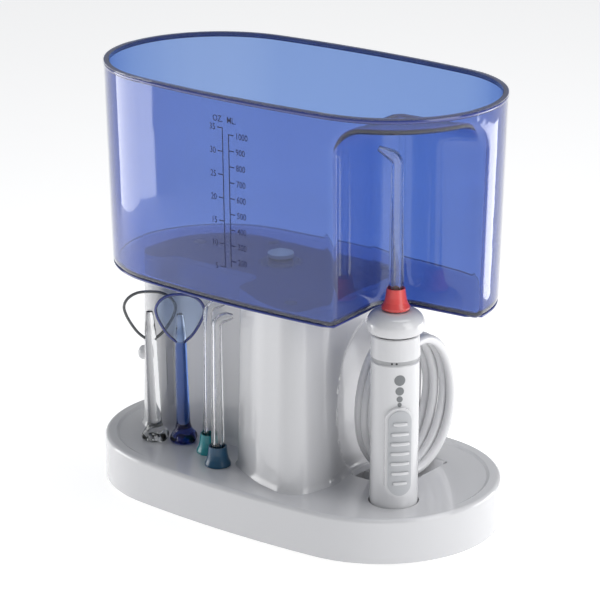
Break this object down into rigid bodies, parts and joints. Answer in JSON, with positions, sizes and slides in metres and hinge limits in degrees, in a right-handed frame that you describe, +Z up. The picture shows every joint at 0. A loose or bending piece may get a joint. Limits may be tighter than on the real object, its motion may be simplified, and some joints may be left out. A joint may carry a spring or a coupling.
{
  "type": "water flosser",
  "caption": "Countertop water flosser: lift-off blue tank with a corner alcove, pump tower on an oval base, hand piece with jet tip, coiled hose and stored tips.",
  "frame": {"origin": "centre of the footprint on the table, at the underside of the feet", "axes": "+X along the long side towards the hand piece, -Y to the front, +Z up"},
  "size_m": [0.208, 0.119, 0.208],
  "materials": {
    "white_gloss": "polished white moulding",
    "white_hand": "polished white hand piece moulding",
    "inner_plastic": "unpainted moulded plastic",
    "black_rubber": "moulded rubber",
    "seal_rubber": "moulded seal rubber",
    "steel": "plated steel",
    "brass": "sintered bush",
    "magnet": "ferrite",
    "board": "laminate board",
    "soft_tube": "translucent silicone tube",
    "hose_white": "smooth flexible white hose",
    "tank_blue": "clear blue tinted plastic, polished",
    "clear_plastic": "clear polished plastic",
    "blue_plastic": "clear blue plastic",
    "coral": "coral moulded plastic",
    "teal": "teal moulded plastic",
    "navy": "dark blue moulded plastic",
    "grey_pad": "light grey satin pad",
    "grey_mark": "mid grey inlay"
  },
  "bodies": {
    "root": {"base_housing": "white_gloss", "bottom_cover": "inner_plastic", "rubber_feet": "black_rubber", "cover_screws": "steel", "cord_gland": "seal_rubber", "tower_shell": "white_gloss", "tower_cap": "white_gloss", "port_seal": "seal_rubber", "switch_body": "inner_plastic", "rectifier_board": "board", "gear_frame": "inner_plastic", "motor_plate": "steel", "frame_screws": "steel", "gear_axle": "steel", "motor_can": "steel", "motor_bearings": "brass", "motor_magnets": "magnet", "pump_body": "inner_plastic", "pump_head": "inner_plastic", "inlet_check_valve": "seal_rubber", "outlet_check_valve": "seal_rubber", "inlet_tube": "soft_tube", "outlet_tube": "soft_tube", "outlet_fitting": "inner_plastic", "hose_root": "hose_white", "hose_coil": "hose_white", "hose_lead": "hose_white"},
    "power_button": {"power_button": "white_gloss"},
    "motor_rotor": {"motor_shaft": "steel", "motor_pinion": "brass"},
    "crank": {"crank_gear": "inner_plastic"},
    "piston": {"piston": "inner_plastic", "piston_seal": "seal_rubber"},
    "tank": {"tank": "tank_blue", "valve_guide": "inner_plastic"},
    "tank_valve": {"tank_valve": "inner_plastic", "valve_seal": "seal_rubber"},
    "handle": {"handle_shell": "white_hand", "neck_sleeve": "white_hand", "indicator_ring": "grey_mark", "level_dots": "grey_mark", "end_cap": "inner_plastic", "core_tube": "inner_plastic"},
    "pressure_slider": {"pressure_slider": "white_hand", "slider_pad": "grey_pad", "valve_spool": "inner_plastic"},
    "eject_collar": {"eject_collar": "white_hand"},
    "tip_chuck": {"tip_chuck": "white_hand"},
    "jet_tip": {"coral_collar": "coral", "hand_jet": "clear_plastic"},
    "clear_cleaner": {"clear_tongue_cleaner": "clear_plastic"},
    "blue_cleaner": {"blue_tongue_cleaner": "blue_plastic"},
    "teal_tip": {"teal_jet_tube": "clear_plastic", "teal_collar": "teal"},
    "navy_tip": {"navy_jet_tube": "clear_plastic", "navy_collar": "navy"}
  },
  "joints": [
    {"name": "power_press", "type": "slide", "parent": "root", "child": "power_button", "axis": [0.9563, 0.2924, 0], "range_m": [0, 0.001], "stiffness_N_per_m": 600},
    {"name": "rotor_spin", "type": "hinge", "parent": "root", "child": "motor_rotor", "pos_m": [-0.05, 0, 0.046], "axis": [0, 1, 0], "continuous": true},
    {"name": "crank_spin", "type": "hinge", "parent": "root", "child": "crank", "pos_m": [-0.022, 0, 0.046], "axis": [0, 1, 0], "continuous": true},
    {"name": "piston_stroke", "type": "slide", "parent": "root", "child": "piston", "axis": [1, 0, 0], "range_m": [-0.01, 0]},
    {"name": "tank_lift", "type": "slide", "parent": "root", "child": "tank", "axis": [0, 0, 1], "range_m": [0, 0.09]},
    {"name": "valve_lift", "type": "slide", "parent": "tank", "child": "tank_valve", "axis": [0, 0, 1], "range_m": [0, 0.0025], "stiffness_N_per_m": 80, "springref_m": -0.001},
    {"name": "handle_lift", "type": "slide", "parent": "root", "child": "handle", "axis": [0, 0, 1], "range_m": [0, 0.001]},
    {"name": "pressure_slide", "type": "slide", "parent": "handle", "child": "pressure_slider", "axis": [0, 0, 1], "range_m": [-0.005, 0]},
    {"name": "collar_press", "type": "slide", "parent": "handle", "child": "eject_collar", "axis": [0, 0, 1], "range_m": [-0.0008, 0], "stiffness_N_per_m": 500, "springref_m": 0.0005},
    {"name": "tip_turn", "type": "hinge", "parent": "handle", "child": "tip_chuck", "pos_m": [0.0706, -0.0207, 0.105], "axis": [0, 0, 1], "continuous": true},
    {"name": "tip_pull", "type": "slide", "parent": "tip_chuck", "child": "jet_tip", "axis": [0, 0, 1], "range_m": [0, 0.004]},
    {"name": "clear_cleaner_lift", "type": "slide", "parent": "root", "child": "clear_cleaner", "axis": [0, 0, 1], "range_m": [0, 0.009]},
    {"name": "blue_cleaner_lift", "type": "slide", "parent": "root", "child": "blue_cleaner", "axis": [0, 0, 1], "range_m": [0, 0.009]},
    {"name": "teal_tip_lift", "type": "slide", "parent": "root", "child": "teal_tip", "axis": [0, 0, 1], "range_m": [0, 0.009]},
    {"name": "navy_tip_lift", "type": "slide", "parent": "root", "child": "navy_tip", "axis": [0, 0, 1], "range_m": [0, 0.009]}
  ],
  "couplings": [
    {"joint": "crank_spin", "follows": "rotor_spin", "ratio": -0.27273}
  ]
}
